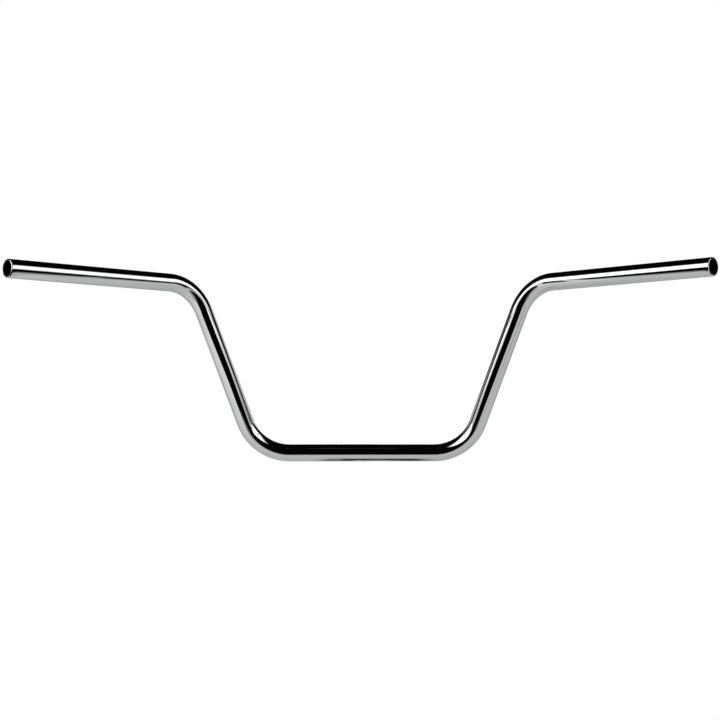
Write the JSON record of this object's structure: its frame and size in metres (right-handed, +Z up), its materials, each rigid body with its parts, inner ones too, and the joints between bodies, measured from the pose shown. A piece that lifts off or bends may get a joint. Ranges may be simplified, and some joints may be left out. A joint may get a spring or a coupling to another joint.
{
  "type": "ape hanger handlebar",
  "caption": "Tall one-piece motorcycle handlebar, bent from chromed steel tube, with splayed uprights and swept-back grips that are open at their ends.",
  "frame": {"origin": "middle of the clamp section, on the tube's centre line", "axes": "+X along the clamp section to the rider's right, +Y ahead, +Z up, as on a motorcycle"},
  "size_m": [0.9316, 0.2996, 0.2831],
  "materials": {
    "chrome_plate": "bright polished chrome plating on steel tube"
  },
  "bodies": {
    "root": {"handlebar": "chrome_plate"}
  },
  "joints": []
}
